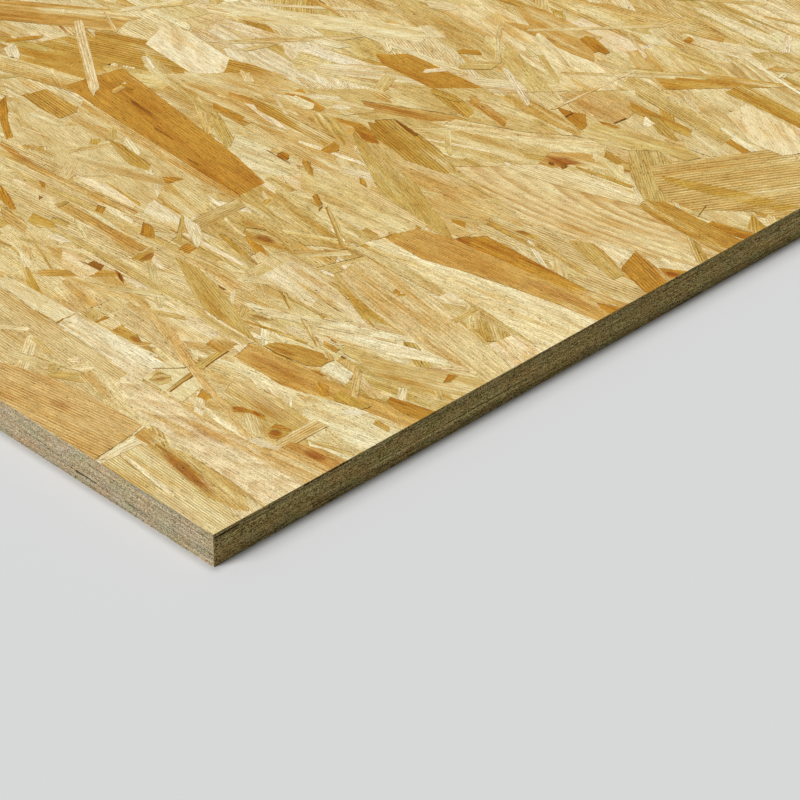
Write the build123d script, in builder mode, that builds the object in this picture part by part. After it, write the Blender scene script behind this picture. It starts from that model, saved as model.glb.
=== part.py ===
from build123d import *
import os

# One full sheet of oriented strand board, lying flat, in millimetres.
# +X runs along the length, which is also the way most of the face strands lie.
# +Y runs across the width and +Z goes up through the thickness.
# The origin is in the middle of the underside, on the floor.

LENGTH = 2440.0  # a full stock sheet, 8 ft
WIDTH = 1220.0  # 4 ft
THICKNESS = 18.0

# The sheet is pressed as one mat and sawn square on all four edges,
# so its section is a plain rectangle with sharp arrises.
with BuildPart() as osb_panel:
    with BuildSketch(Plane.XY):
        Rectangle(LENGTH, WIDTH)
    extrude(amount=THICKNESS)

osb_panel.part.label = "osb_panel"

os.makedirs("parts", exist_ok=True)
export_step(osb_panel.part, "parts/osb_panel.step")
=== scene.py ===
import math

import bpy
import numpy as np
from mathutils import Matrix, Vector
from mathutils.geometry import delaunay_2d_cdt


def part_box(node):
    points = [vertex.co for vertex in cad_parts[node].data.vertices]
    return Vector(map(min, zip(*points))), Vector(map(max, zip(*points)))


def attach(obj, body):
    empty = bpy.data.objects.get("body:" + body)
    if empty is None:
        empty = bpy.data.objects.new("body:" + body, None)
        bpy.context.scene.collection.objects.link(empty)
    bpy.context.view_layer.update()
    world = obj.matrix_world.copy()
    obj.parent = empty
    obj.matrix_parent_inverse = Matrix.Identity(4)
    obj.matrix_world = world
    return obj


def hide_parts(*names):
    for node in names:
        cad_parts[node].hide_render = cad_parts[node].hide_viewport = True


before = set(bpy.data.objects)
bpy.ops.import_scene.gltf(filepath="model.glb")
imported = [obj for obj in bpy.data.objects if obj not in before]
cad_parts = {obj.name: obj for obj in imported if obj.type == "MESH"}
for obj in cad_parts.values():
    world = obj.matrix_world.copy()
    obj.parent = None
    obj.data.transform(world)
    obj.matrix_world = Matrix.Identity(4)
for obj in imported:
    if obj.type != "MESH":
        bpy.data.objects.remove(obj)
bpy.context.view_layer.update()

# The sheet's box, in metres. The photo shows the corner at +X, -Y.
LOW, HIGH = (np.array(corner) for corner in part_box("osb_panel"))
LENGTH, WIDTH, THICKNESS = HIGH - LOW
NEAR_CORNER = np.array([HIGH[0], LOW[1]])
MM = 0.001
SEED = 20


# Camera

FOCAL_PX = 4094.0  # focal length, in pixels of the photo
PHOTO_PX = 800.0  # side of the photo
AZIMUTH = math.radians(45.76)
ELEVATION = math.radians(34.41)
CORNER_PX = (213.0, 534.9)  # where the photo shows the near corner of the top face
CORNER_DEPTH = 1.830  # from the lens to that corner, along the view axis
SENSOR = 36.0  # width of the camera's sensor, in mm
FARTHEST = 200.0  # that the camera sees


def add_camera():
    """A camera that sees the near corner where the photo does."""
    s, c = math.sin(AZIMUTH), math.cos(AZIMUTH)
    right = Vector((c, s, 0))
    back = Vector((s * math.cos(ELEVATION), -c * math.cos(ELEVATION), math.sin(ELEVATION)))
    up = back.cross(right)
    across = (CORNER_PX[0] - PHOTO_PX / 2) / FOCAL_PX * CORNER_DEPTH
    above = (PHOTO_PX / 2 - CORNER_PX[1]) / FOCAL_PX * CORNER_DEPTH
    corner = Vector((*NEAR_CORNER, HIGH[2]))
    camera = bpy.data.objects.new("camera", bpy.data.cameras.new("camera"))
    bpy.context.collection.objects.link(camera)
    place = corner + back * CORNER_DEPTH - right * across - up * above
    turn = Matrix((right, up, back)).transposed().to_4x4()
    camera.matrix_world = Matrix.Translation(place) @ turn
    camera.data.sensor_width = SENSOR
    camera.data.lens = FOCAL_PX / PHOTO_PX * SENSOR
    camera.data.clip_end = FARTHEST
    bpy.context.scene.camera = camera


# Light and floor

WORLD_LEVEL = 0.20  # share of the plain light level that comes from all round
WORLD_HUE = (0.96, 1.01, 1.02)
# name, direction it comes from, share of the plain light level on level ground, angle that it fills
SUNS = [
    ("low_sun", Vector((-0.36, -1.00, 1.0)), 0.42, math.radians(26)),
    ("high_sun", Vector((-0.15, 0.14, 1.0)), 0.38, math.radians(18)),
]
FLOOR_GREY = (0.686, 0.686, 0.686)
FLOOR_SIZE = 400.0


def add_suns():
    for name, direction, share, spread in SUNS:
        sun = bpy.data.objects.new(name, bpy.data.lights.new(name, "SUN"))
        bpy.context.collection.objects.link(sun)
        sun.rotation_euler = direction.to_track_quat("Z", "Y").to_euler()
        sun.data.angle = spread
        sun.data.energy = math.pi * share / direction.normalized().z


def add_world():
    """Even light all round, behind which the camera sees the floor's grey."""
    world = bpy.data.worlds.new("studio")
    bpy.context.scene.world = world
    world.use_nodes = True
    nodes, links = world.node_tree.nodes, world.node_tree.links
    nodes.clear()
    path = nodes.new("ShaderNodeLightPath")
    seen = nodes.new("ShaderNodeMath")
    seen.operation = "MAXIMUM"
    links.new(path.outputs["Is Camera Ray"], seen.inputs[0])
    links.new(path.outputs["Is Transmission Ray"], seen.inputs[1])
    light = nodes.new("ShaderNodeBackground")
    light.inputs["Color"].default_value = (*(share * WORLD_LEVEL for share in WORLD_HUE), 1)
    shown = nodes.new("ShaderNodeBackground")
    shown.inputs["Color"].default_value = (*FLOOR_GREY, 1)
    mix = nodes.new("ShaderNodeMixShader")
    links.new(seen.outputs[0], mix.inputs["Fac"])
    links.new(light.outputs[0], mix.inputs[1])
    links.new(shown.outputs[0], mix.inputs[2])
    output = nodes.new("ShaderNodeOutputWorld")
    links.new(mix.outputs[0], output.inputs["Surface"])


def add_floor():
    half = FLOOR_SIZE / 2
    mesh = bpy.data.meshes.new("floor")
    corners = [(-half, -half, 0), (half, -half, 0), (half, half, 0), (-half, half, 0)]
    mesh.from_pydata(corners, [], [(0, 1, 2, 3)])
    floor = bpy.data.objects.new("floor", mesh)
    bpy.context.collection.objects.link(floor)
    material = bpy.data.materials.new("floor_grey")
    material.use_nodes = True
    shader = material.node_tree.nodes["Principled BSDF"]
    shader.inputs["Base Color"].default_value = (*FLOOR_GREY, 1)
    shader.inputs["Roughness"].default_value = 1.0
    shader.inputs["Specular IOR Level"].default_value = 0.0
    mesh.materials.append(material)


# Tones and grains of the strands

# sRGB values out of 255, as seen in plain light
TONES = {
    "white": (234, 217, 172),
    "pale": (228, 208, 156),
    "cream": (219, 195, 135),
    "straw": (210, 181, 110),
    "olive": (201, 170, 92),
    "gold": (198, 158, 70),
    "buff": (215, 181, 113),
    "tan": (207, 166, 88),
    "orange": (194, 143, 51),
    "brown": (188, 136, 44),
    "umber": (152, 98, 28),
}
DARK_TONES = ("orange", "brown", "umber")

# contrast of the ring lines, their spacing and how far the pith lies aside and below in mm, share of streaks
GRAINS = {
    "smooth": (0.40, 2.6, 20, 60, 0.25),
    "fine": (0.70, 1.2, 50, 8, 0.25),
    "lined": (0.90, 1.5, 60, 8, 0.30),
    "striped": (1.20, 1.8, 90, 5, 0.15),
    "arched": (0.70, 4.0, 0, 3, 0.20),
    "streaked": (0.60, 1.8, 40, 12, 0.90),
}
# what chance makes of them from one strand to the next, as shares of what the tone and the grain say
LIGHTNESS = (0.95, 1.05)
CHANNELS = (0.98, 1.02)
CONTRASTS = (0.7, 1.2)
SPACINGS = (0.85, 1.2)
PITHS_BELOW = (0.7, 1.4)
STREAKINESS = (0.5, 1.5)
PITH_SWING = 12  # in mm, to either side
DIVE = 0.12  # slope of the pith along the strand, either way
SEEDS = 90.0  # range of the number that keeps the noise of two strands apart
PALER_SIDES = (0.4, 1.2)  # how much paler one side of a strand is than its middle
DARK_LEVEL = -2.0  # how pale a strand of a dark tone is, so that its paler side doesn't show

STAINED_SHARE = 0.12  # of the strands
STAIN_SIZE = np.array([14, 4]) * MM  # along and across the grain, at most
STAIN_SHARES = (0.3, 1.0)  # of that size
STAIN_SWING = 10  # how far from the strand's centre, in mm, either way
STAIN_STRENGTHS = (0.3, 0.9)

FRAY_END = 0.28 * MM  # how far the fibres at a strand's end stand out
FRAY_SIDE = FRAY_END / 4
FRAY_STEP_END, FRAY_STEP_SIDE = 1.6 * MM, 5 * MM
FRAY_SHIFT = 0.3  # how far a point strays along its side, in steps
ACROSS = 0.5  # a side is an end where more than this share of it runs across the grain


def linear(srgb):
    """Linear colour of an sRGB value out of 255."""
    c = np.asarray(srgb, float) / 255
    return np.where(c <= 0.04045, c / 12.92, ((c + 0.055) / 1.055) ** 2.4)


def on_sheet(points):
    """Places on the face, of points given in mm from the short edge and the long edge of the near corner."""
    return NEAR_CORNER + np.array(points) * MM * (-1, 1)


def twice_area(outline):
    """Twice the area in an outline, less than 0 where it runs clockwise."""
    x, y = np.transpose(outline)
    return x @ np.roll(y, -1) - y @ np.roll(x, -1)


class Strand:
    """A flat flake of wood: its outline, how its grain runs, its looks, and its depth below the face."""

    def __init__(self, outline, angle, tone, grain, depth, rng):
        area = twice_area(outline)
        self.outline = np.array(outline if area > 0 else outline[::-1])
        self.twice_area = abs(area)
        self.centre = (self.outline.min(0) + self.outline.max(0)) / 2
        self.along = np.array([math.cos(angle), math.sin(angle)])
        axes = np.transpose([self.along, (-self.along[1], self.along[0])])
        self.reach = np.maximum(np.abs((self.outline - self.centre) @ axes).max(0), 1 * MM)
        self.depth = depth
        contrast, spacing, aside, below, streaks = GRAINS[grain]
        self.tone = linear(TONES[tone]) * rng.uniform(*LIGHTNESS) * rng.uniform(*CHANNELS, 3)
        self.contrast = contrast * rng.uniform(*CONTRASTS)
        self.spacing = spacing * MM * rng.uniform(*SPACINGS)
        aside = aside * rng.choice((-1, 1)) + rng.uniform(-PITH_SWING, PITH_SWING)
        self.pith = (aside * MM, below * rng.uniform(*PITHS_BELOW) * MM)
        self.dive = rng.uniform(-DIVE, DIVE)
        self.streaks = streaks * rng.uniform(*STREAKINESS)
        self.seed = rng.uniform(0, SEEDS)
        level = DARK_LEVEL * (tone in DARK_TONES)
        self.fade = self.paler(rng.uniform(0, 2 * math.pi), rng.uniform(*PALER_SIDES), level)
        is_stained = rng.random() < STAINED_SHARE
        size = rng.uniform(*STAIN_SHARES, 2) * STAIN_SIZE
        place = rng.uniform(-STAIN_SWING, STAIN_SWING, 2) * MM
        self.stain = (*place, *size, is_stained * rng.uniform(*STAIN_STRENGTHS))

    def paler(self, turn, more, level):
        """How pale the strand gets along and across the grain, if its side at the angle turn from the grain
        is paler by more, and how pale it is in its middle."""
        return np.array([*(np.array([math.cos(turn), math.sin(turn)]) * more / self.reach), level])

    def along_and_across(self, place):
        """A place on the face, along and across the grain from the strand's centre."""
        offset = place - self.centre
        return offset @ self.along, offset @ (-self.along[1], self.along[0])

    def frayed(self, rng):
        """The strand with its straight sides broken up: the split sides a little, the ends more."""
        points = []
        for start, end in zip(self.outline, np.roll(self.outline, -1, 0)):
            run = end - start
            length = np.hypot(*run)
            across = abs(run @ (-self.along[1], self.along[0])) / length
            count = max(1, int(length / (FRAY_STEP_END if across > ACROSS else FRAY_STEP_SIDE)))
            points.append(start)
            for step in range(1, count):
                jog = self.along * rng.normal(0, FRAY_END) * across
                jog = jog + run[::-1] * (-1, 1) / length * rng.normal(0, FRAY_SIDE)
                points.append(start + run * (step + rng.uniform(-FRAY_SHIFT, FRAY_SHIFT)) / count + jog)
        self.outline = np.array(points)
        self.twice_area = twice_area(self.outline)
        return self

    def given(self, spacing=None, centre=None, dive=0.0, contrast=None, stain=None, fade=None, pale=None):
        """The strand, with the rings, the stain and the paler side where the photo shows them."""
        self.contrast = contrast or self.contrast
        if spacing:
            self.spacing = spacing * MM
        if centre:
            u, v = self.along_and_across(on_sheet(centre))
            self.pith, self.dive = (v, -dive * u), dive
        if stain:
            place = self.along_and_across(on_sheet(stain[:2]))
            self.stain = (*place, stain[2] * MM, stain[3] * MM, stain[4])
        if fade:
            self.fade = self.paler(math.radians(fade[0]), *fade[1:])
        if pale is not None:
            self.fade = self.paler(0, 0, pale)
        return self


# Strands that the photo shows, near the corner. Each row gives the tone, the grain, its angle in degrees as
# seen from above, and the outline. A point is the distance in mm from the short edge, then from the long
# edge. Some rows also give the ring spacing in mm, the place of the rings' centre and how steeply it dives
# along the grain, the contrast of the rings, or a stain: its centre, its half length and half width in mm and
# its strength. pale is how pale the whole strand is, and fade gives the paler side: its angle to the grain,
# how much paler it is, and how pale the whole strand is. The rows go from the lowest strand to the uppermost.
# Scraps of wood lie between the broad strands of the first list and those of the second.

UNDER = [
    ("pale", "fine", -20, [(40, 38), (-4, 38), (-4, 12), (40, 12)]),
    ("cream", "fine", -3, [(226, 54), (120, 53), (122, 33), (162, 24), (226, 8)]),
    ("cream", "fine", -3, [(266, 112), (180, 111), (160, 104), (165, 84), (182, 75), (232, 71), (250, 80),
        (266, 92)]),
    ("cream", "fine", 12, [(104, 106), (60, 104), (36, 98), (34, 60), (100, 58)]),
    ("pale", "smooth", 10, [(52, 108), (27, 116), (0, 122), (-4, 122), (-4, 78), (20, 78), (40, 92)]),
    ("olive", "fine", 12, [(60, 147), (20, 146), (-4, 158), (-4, 124), (20, 122), (45, 119), (64, 128)]),
    ("cream", "smooth", 5, [(160, 160), (100, 158), (66, 145), (62, 134), (100, 118), (150, 138),
        (165, 150)]),
    ("cream", "lined", 4, [(266, 142), (200, 151), (138, 153), (100, 122), (140, 118), (266, 118)]),
    ("cream", "lined", 6, [(345, 150), (300, 164), (200, 162), (196, 140), (205, 119), (300, 110),
        (345, 140)]),
    ("cream", "fine", -6, [(366, 178), (350, 206), (200, 204), (200, 160), (262, 160), (345, 154)]),
    ("straw", "fine", -4, [(212, 236), (120, 232), (98, 214), (98, 157), (206, 157), (215, 200)]),
    ("pale", "smooth", 8, [(212, 252), (116, 254), (120, 229), (150, 225), (212, 231)]),
    ("straw", "lined", 5, [(316, 264), (254, 262), (254, 248), (262, 233), (300, 240), (312, 242)]),
    ("cream", "smooth", 15, [(275, 252), (210, 252), (208, 221), (250, 232), (262, 235)]),
    ("straw", "fine", 6, [(325, 258), (98, 250), (98, 302), (285, 302)]),
    ("cream", "lined", 8, [(102, 290), (50, 294), (-4, 290), (-4, 270), (27, 267), (102, 268)]),
    ("straw", "fine", 12, [(262, 300), (98, 288), (98, 370), (195, 370)]),
    ("cream", "fine", -8, [(190, 368), (30, 390), (-4, 400), (60, 486), (84, 486)]),
]
# Umber rows less than a millimetre wide are painted shadow: the dark line beside a strand that stands off over
# the one below.
SHOWN = [
    # along the long edge, up to the pale strand
    ("buff", "striped", 8, [(212, -4), (80.5, -4), (81, 0), (84.5, 26), (87.3, 34.5), (106.7, 33.7),
        (125, 32.7), (149, 29.3), (173, 20.7), (200, 14), (212, 8)],
        dict(spacing=1.75, stain=(126, 18, 8, 3, 0.4), pale=-3)),
    ("white", "smooth", 85, [(82.5, 25.3), (72, 24.8), (74, 16), (75.5, 3.5), (81.5, 2.5)]),
    ("pale", "lined", -3, [(76, 24), (60, 25), (30, 21), (0, 17), (-4, 16), (-4, -4), (77, -4)],
        dict(spacing=1.4, pale=2, contrast=1.25, stain=(25, 3, 22, 3, 0.3))),
    ("olive", "smooth", -7, [(75, 10.8), (60, 9.2), (40, 6.7), (40, 6.1), (60, 8.4), (75, 10)]),
    ("white", "smooth", -7, [(76, 12.6), (60, 11.6), (36, 8.4), (33.5, 6.8), (44, 7), (60, 9.2), (76, 10.6)],
        dict(pale=0.5)),
    ("straw", "fine", -8, [(72, 29.3), (58, 34), (40, 34.2), (25, 35), (12, 31), (2, 24), (8, 20), (20, 19),
        (28, 21.5), (45, 26), (60, 28.5)], dict(fade=(330, 1.6, 0.0), spacing=1.3)),
    ("straw", "lined", -8, [(73, 30), (60, 31), (42, 29.5), (24, 24.5), (14, 19.5), (24, 17), (45, 20),
        (60, 22.5), (73, 24.5)], dict(pale=0.3, spacing=1.2, stain=(47, 25, 27, 4.4, 1.0))),
    ("brown", "smooth", -7, [(72, 29.5), (60, 28.9), (45, 27.4), (33, 24.6), (33, 24.0), (45, 26.2),
        (60, 27.7), (72, 28.4)], dict(fade=(0, 1.4, -1.2))),
    ("tan", "smooth", 0, [(85, 34.5), (70, 34.3), (72, 26), (84, 26)], dict(fade=(0, 1.6, 0.2))),
    ("straw", "smooth", 80, [(84.5, 26), (84.1, 26), (80.6, -4), (81.0, -4)]),
    ("pale", "smooth", 3, [(124, 58), (80, 59), (20, 62), (-4, 63), (-4, 30), (12, 33), (60, 36), (128, 41)],
        dict(stain=(60, 50, 14, 7, 0.3))),
    ("cream", "fine", -14, [(150, 50), (124, 57), (122, 48), (92, 36.5), (120, 37), (138, 38.5), (140, 42)]),
    ("cream", "smooth", 20, [(178, 30), (166, 36), (152, 36), (160, 31), (176, 27)]),
    ("pale", "smooth", 60, [(148, 48), (138, 50), (138, 44), (146, 41)]),
    ("straw", "fine", 60, [(158, 38), (151, 39), (148, 33), (152, 32)]),
    ("cream", "striped", -2.5, [(224, 63.5), (200, 62), (160, 59.5), (124, 58), (123.5, 51), (160, 51),
        (200, 51.5), (216, 53)], dict(spacing=1.4)),
    ("white", "smooth", -1, [(180.5, 61.5), (180, 75), (160, 75.6), (118, 76), (115, 70), (115, 58.7),
        (150, 60.3)]),
    ("pale", "fine", 2, [(232, 71), (220, 72.5), (200, 73.5), (181, 74), (181.5, 62), (205, 62.5),
        (222, 64)]),
    ("brown", "smooth", 90, [(182, 66.5), (181.3, 67), (180.2, 62), (181, 61.5)]),
    # the crossed strands and what lies round them
    ("pale", "smooth", 5, [(232, 108.5), (202, 109), (201, 96), (218, 97)]),
    ("cream", "smooth", -12, [(208, 92), (178, 93), (180, 76), (205, 80)]),
    ("straw", "fine", 0, [(178.7, 83.3), (170, 83.3), (170, 75.5), (178.7, 75.5)]),
    ("brown", "fine", 85, [(169.5, 83), (167, 83), (167.5, 75.5), (169, 75.5)]),
    ("gold", "smooth", 0, [(158, 83), (146, 82.6), (139, 80.3), (143, 77.2), (158, 76.5)],
        dict(stain=(143, 80, 6, 3, 0.8), pale=-1.5)),
    ("cream", "lined", -4, [(170, 99), (150, 98), (120, 93), (108, 88), (112, 82), (140, 83), (165, 84),
        (172, 92)]),
    ("pale", "smooth", 0, [(119, 82), (92, 79), (88, 60), (116, 60)]),
    ("straw", "arched", 60, [(115, 69), (108, 71), (104.5, 67), (106, 61.5), (113, 61)],
        dict(stain=(110, 66, 3, 2, 0.5))),
    ("straw", "lined", -3, [(86, 92), (60, 95), (35, 93), (34, 68), (42, 66.5), (60, 70), (80, 78)],
        dict(spacing=1.5, stain=(56, 86, 17, 7, 0.32), fade=(0, -1.0, 0.4))),
    ("orange", "smooth", 10, [(69, 74.5), (66, 77.5), (61, 79), (60, 77.5), (62, 75.5), (66, 71.8)],
        dict(stain=(66, 75, 4, 2.4, 0.7), pale=-1)),
    ("brown", "smooth", 0, [(64, 78.2), (60, 80), (54, 80.2), (49, 78), (53, 78), (58, 77.4), (62, 76.4)],
        dict(stain=(57, 78.8, 4, 1.2, 1.0))),
    ("cream", "lined", -30, [(61, 76), (53, 77), (40, 70), (42, 66.5), (47, 67), (59, 71)],
        dict(spacing=1.3)),
    ("gold", "streaked", 30, [(45, 80.6), (40, 81.3), (34.6, 81), (34.8, 72), (38, 69.6), (42, 71.5),
        (44.5, 74)], dict(stain=(39.4, 74.8, 4.2, 3.2, 1.0), pale=0)),
    ("olive", "fine", -78, [(104.7, 82), (101.5, 82), (97.8, 61), (100.5, 61.5)]),
    ("umber", "smooth", -78, [(101.7, 78.5), (101, 78.5), (98.4, 62), (99.1, 62)]),
    ("buff", "fine", -18, [(165, 103), (133, 97), (107, 86), (80, 76), (53, 66.5), (42, 64.5), (49, 61.5),
        (67, 69), (93, 76.5), (115, 82.7), (137, 91), (161, 98.5)]),
    ("olive", "fine", -78, [(109.3, 104), (104.8, 104.8), (102, 86), (107.3, 84.7)]),
    ("umber", "smooth", -80, [(105.4, 104.8), (104.7, 104.8), (102.4, 88), (103.1, 88)]),
    ("umber", "smooth", 45, [(108.4, 80.6), (107.9, 80.2), (118.6, 68.6), (119.1, 69)]),
    ("orange", "smooth", -60, [(90, 74.7), (81.3, 73), (82, 69), (87, 68)]),
    ("cream", "striped", 90, [(35, 95.5), (26, 95.5), (26.2, 72), (33.5, 66.5)], dict(spacing=1.7)),
    ("umber", "smooth", 90, [(26.4, 95), (26, 95), (26.1, 73.5), (26.5, 73.5)]),
    ("buff", "streaked", 8, [(29, 74), (15, 81), (0, 83), (-4, 84), (-4, 58), (10, 56.5), (32, 58), (28, 66)],
        dict(stain=(13, 75, 9, 4, 0.8))),
    ("straw", "lined", 14, [(25, 80.7), (24.5, 81.7), (3, 88.6), (0, 88.5), (1, 86.8), (14, 83)]),
    # the orange-tan band and the leaf, with their neighbours
    ("tan", "smooth", 8, [(103, 117.5), (80, 121), (53, 122.5), (32, 124.5), (10, 131), (-4, 134), (-4, 122),
        (0, 121.5), (27, 115.5), (50, 108), (67, 103), (80, 103.3), (100, 103.5), (101, 110)],
        dict(pale=-1, stain=(84, 112.5, 22, 4, 0.4))),
    ("gold", "streaked", 12, [(97, 119.5), (95, 126), (85, 132), (72, 135.5), (66, 133), (64.5, 127),
        (70, 123), (85, 120)], dict(fade=(90, 1.0, -1.2), stain=(86, 123.5, 10, 2.2, 0.8))),
    ("umber", "smooth", 10, [(97, 119.6), (88, 120.2), (76, 121.8), (88, 119.4)]),
    ("brown", "smooth", 20, [(95, 121.5), (88, 123.6), (78, 128.5), (80, 126.6), (88, 122.4)]),
    ("gold", "smooth", 12, [(120, 128), (104, 133), (84, 137), (84, 135), (104, 131), (119, 127)]),
    ("orange", "smooth", -25, [(57, 118.5), (50, 118), (44.5, 113), (46, 110.5), (52, 111.5)], dict(pale=-1)),
    ("gold", "smooth", 0, [(43.5, 120), (24, 121.5), (25, 116), (39, 112), (42, 114)],
        dict(fade=(0, 1.2, 0.0))),
    ("tan", "fine", 0, [(118.7, 112), (106, 111.5), (106.5, 101), (117, 100.7)], dict(fade=(180, 1.2, 0.0))),
    ("orange", "streaked", 15, [(24, 133), (10, 137), (-4, 141), (-4, 130), (10, 128), (22, 129)]),
    ("white", "smooth", 4, [(64, 136), (50, 135.5), (45, 124), (62, 123.5), (64.5, 129)], dict(pale=0)),
    ("straw", "lined", -50, [(61, 139.5), (48, 138.5), (33, 121), (37, 120), (50, 134.5), (61, 136)],
        dict(spacing=1.3)),
    ("straw", "fine", -55, [(131, 136.5), (126, 137), (121, 129.5), (124, 129)]),
    ("straw", "smooth", 15, [(123, 137), (112, 139), (108, 136), (118, 131), (124, 132)],
        dict(stain=(115.5, 135.3, 7, 2.0, 0.75), pale=0)),
    ("buff", "lined", -3, [(181, 149), (143, 148), (142, 138), (165, 139), (181, 144)]),
    ("straw", "fine", 0, [(252, 118), (220, 119.3), (180, 119.5), (150, 119), (118, 118), (102, 118.5),
        (104, 113), (120, 112.5), (140, 114), (180, 114.5), (220, 115), (250, 114)]),
    ("olive", "fine", -20, [(186, 142), (170, 143.5), (150, 139), (131, 133), (120, 127), (98, 119),
        (120, 119.5), (136, 120.5), (147, 122), (160, 129), (175, 137)]),
    ("gold", "streaked", 90, [(200, 140.5), (196, 138), (191.5, 132), (193, 127), (199.5, 125.5)],
        dict(stain=(195, 133, 6, 3, 0.8))),
    ("umber", "smooth", -30, [(198, 113.5), (193, 113.3), (184, 107.7), (190, 109.5)]),
    ("umber", "smooth", 5, [(210.7, 111), (204, 112), (201.5, 107), (217, 106), (210.5, 107.5)]),
    ("cream", "smooth", 0, [(215, 110), (211, 111), (210.7, 107.5), (214, 107)]),
    ("umber", "smooth", 10, [(152, 140.3), (146, 140.3), (146.5, 139.2), (150, 139.4)]),
    # the middle: crossing diagonals and white pieces
    ("pale", "smooth", -4, [(143, 180), (130, 182), (100, 177), (76, 168), (90, 160), (120, 158.5),
        (143, 159.5)], dict(pale=0.8)),
    ("cream", "striped", 0, [(108, 167), (84, 166), (84, 160), (106, 160)],
        dict(spacing=1.2, fade=(180, 1.2, 0.6))),
    ("straw", "fine", 10, [(70, 149), (58, 149.6), (55, 146.6), (60, 143), (68, 143)], dict(pale=-1)),
    ("cream", "fine", -5, [(160, 176), (143, 175), (143.4, 169.4), (160, 169)]),
    ("straw", "fine", 90, [(152, 169.6), (143.4, 169.4), (143, 160), (152, 160)]),
    ("straw", "streaked", 22, [(57, 149), (33, 160), (13, 174), (0, 179), (-4, 180), (-4, 160), (0, 158),
        (20, 148), (25, 142), (45, 141), (60, 146)], dict(stain=(28, 164, 13, 3, 0.5))),
    ("white", "smooth", 18, [(92, 152), (70, 160), (45, 170), (27, 174), (22, 172), (50, 157), (77, 147),
        (90, 145.5)], dict(pale=0)),
    ("pale", "smooth", 22, [(132, 139), (105, 150), (72, 166), (50, 177), (40, 178), (60, 166), (85, 152),
        (110, 141), (120, 137)]),
    ("brown", "smooth", -75, [(18, 166), (14, 168.5), (12.5, 162), (14.5, 159)]),
    ("gold", "smooth", 0, [(80, 143.5), (69, 143.5), (68, 140.5), (76, 140)],
        dict(pale=-1.5, stain=(72, 142, 5, 1.6, 0.5))),
    ("umber", "smooth", 0, [(78.6, 146.9), (74.4, 146.8), (74, 146.1), (77.6, 146)]),
    ("cream", "fine", -30, [(102, 149), (98, 149.5), (76, 138.5), (79, 137.8), (90, 142)]),
    ("gold", "smooth", -29, [(101, 148.2), (100, 148.4), (78, 137.9), (79, 137.6)]),
    ("straw", "fine", -28, [(128, 158.5), (122, 158.6), (109, 151), (112, 150.5)]),
    ("gold", "smooth", -28, [(127, 157.9), (125, 158.1), (111, 150.9), (112, 150.6)]),
    ("cream", "lined", -8, [(122, 210), (100, 210), (70, 208), (40, 200), (10, 193), (0, 190), (-4, 189),
        (-4, 172), (10, 176), (40, 173), (70, 176), (100, 182), (118, 190)],
        dict(stain=(112, 186, 8, 3.4, 0.4), contrast=0.55, spacing=2.2)),
    ("straw", "streaked", -18, [(119, 191), (106, 185), (94, 181.6), (97, 178), (108, 181), (120, 187.5)],
        dict(fade=(0, 1.0, -0.5))),
    ("gold", "smooth", -20, [(99, 178.6), (84, 173.6), (71, 169.2), (72, 168.6), (86, 172.4), (96, 176.6)],
        dict(pale=-2)),
    ("gold", "smooth", -9, [(106, 181.6), (94, 179.6), (80, 176.6), (57, 175.2), (57, 174.4), (80, 175.4),
        (96, 178.2)], dict(pale=-1.2)),
    ("orange", "smooth", 30, [(88.6, 200.6), (87.8, 197.2), (85.8, 196), (84.6, 197.4), (83, 195.8),
        (81, 198.4), (81.6, 199.4), (84, 198.8)], dict(pale=-1)),
    ("white", "smooth", -10, [(22, 212), (8, 213), (-4, 211), (-4, 190), (10, 194), (22, 197)]),
    ("olive", "lined", -35, [(42, 211), (20, 211), (21, 204), (25, 198.5), (35, 203)]),
    ("straw", "lined", 90, [(51, 216), (47, 216), (46, 200), (50, 200)]),
    ("straw", "lined", -4, [(55, 217.5), (30, 216), (8, 213.5), (12, 212), (30, 213.7), (55, 216)]),
    ("tan", "fine", -8, [(157, 195), (130, 195.5), (127, 190), (140, 188), (150, 191)]),
    ("cream", "fine", 50, [(149, 188), (143, 185), (125, 206), (131, 208)]),
    ("straw", "fine", 65, [(130, 184), (127, 184), (117, 209), (121, 209.5)]),
    ("straw", "streaked", 10, [(181, 186), (172, 191), (158, 190), (154, 185), (165, 179.5), (178, 181)],
        dict(stain=(167, 185.5, 8, 3.6, 0.95), pale=0)),
    ("gold", "smooth", -70, [(194, 212), (190, 213), (188, 207.5), (193, 207)]),
    ("olive", "fine", -8, [(206, 208.5), (185, 205.5), (168, 201.5), (170, 199.5), (186, 201.5), (206, 204)]),
    ("cream", "smooth", -8, [(206, 206.8), (186, 204), (170, 201), (170, 200.5), (186, 203.4), (206, 206.2)]),
    # the orange-tan band's twin and its neighbours
    ("pale", "smooth", 10, [(126, 229), (98, 229), (80, 234), (50, 241), (27, 246), (0, 250), (-4, 251),
        (-4, 211), (10, 214), (50, 218), (100, 216), (130, 218)]),
    ("cream", "smooth", 2, [(134, 214), (100, 218), (82, 218), (69, 215), (69, 210.5), (100, 210),
        (134, 210.5)]),
    ("tan", "fine", 8, [(123, 245), (101, 253), (80, 255), (53, 257), (27, 261), (0, 268.7), (-4, 269),
        (-4, 249), (0, 250), (26.7, 246), (50.7, 241.3), (80, 234), (98.7, 228), (122.7, 228.7)],
        dict(pale=-0.5, stain=(30, 254, 30, 5, 0.4))),
    ("orange", "streaked", 6, [(101, 252.5), (98.5, 258.5), (91.5, 266), (79, 267), (60, 266.5), (41, 266.3),
        (20, 266.6), (5, 270.5), (-4, 272.5), (-4, 267.5), (12.5, 263.5), (24, 261), (41, 258.5), (58, 256.5),
        (74, 255.5), (86, 253.5)], dict(pale=-1.2, stain=(97, 255, 7, 3, 0.7))),
    ("brown", "smooth", 10, [(12, 261), (0, 267), (-4, 267), (-4, 259), (6, 259)]),
    ("olive", "fine", -20, [(212, 291), (183, 288), (170, 280), (150, 275.5), (131, 265.5), (115, 260),
        (101, 252), (113, 251), (133, 254.5), (157, 256), (177, 267), (195, 277), (209, 286)]),
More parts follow.
